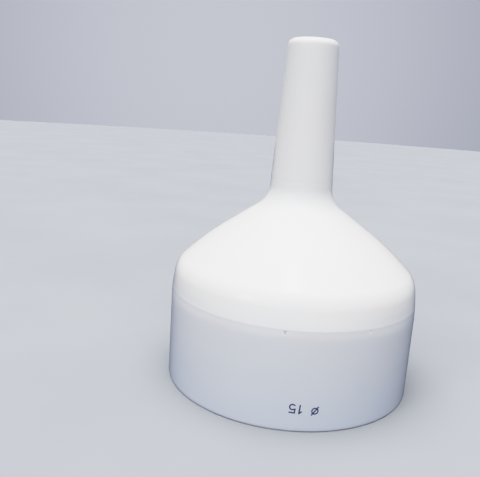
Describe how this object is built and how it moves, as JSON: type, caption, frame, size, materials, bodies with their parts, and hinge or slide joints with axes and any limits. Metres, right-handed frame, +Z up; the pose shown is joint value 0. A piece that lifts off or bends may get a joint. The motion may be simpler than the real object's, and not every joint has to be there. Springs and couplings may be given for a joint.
{
  "type": "buchner funnel",
  "caption": "Porcelain vacuum filter funnel: straight bowl with a perforated plate, drain cone and tapered stem, standing on its mouth.",
  "frame": {"origin": "centre of the bowl's mouth, on the plane of the rim's foot that the funnel stands on", "axes": "+Z up the axis to the stem's tip, -Y out through the size mark"},
  "size_m": [0.16, 0.1601, 0.2183],
  "materials": {
    "porcelain_bowl": "clear glaze over white porcelain, bare at the foot of the rim",
    "porcelain_plate": "thin clear glaze over white porcelain",
    "porcelain_cone": "clear glaze over white porcelain",
    "porcelain_stem": "clear glaze over white porcelain",
    "joint_slip": "fired porcelain slip",
    "mark_colour": "dark blue ceramic colour, fired on"
  },
  "bodies": {
    "root": {"bowl_wall": "porcelain_bowl", "filter_plate": "porcelain_plate", "drain_cone": "porcelain_cone", "stem_tube": "porcelain_stem", "plate_slip_ring": "joint_slip", "bowl_slip_ring": "joint_slip", "stem_slip_ring": "joint_slip", "size_mark": "mark_colour"}
  },
  "joints": []
}
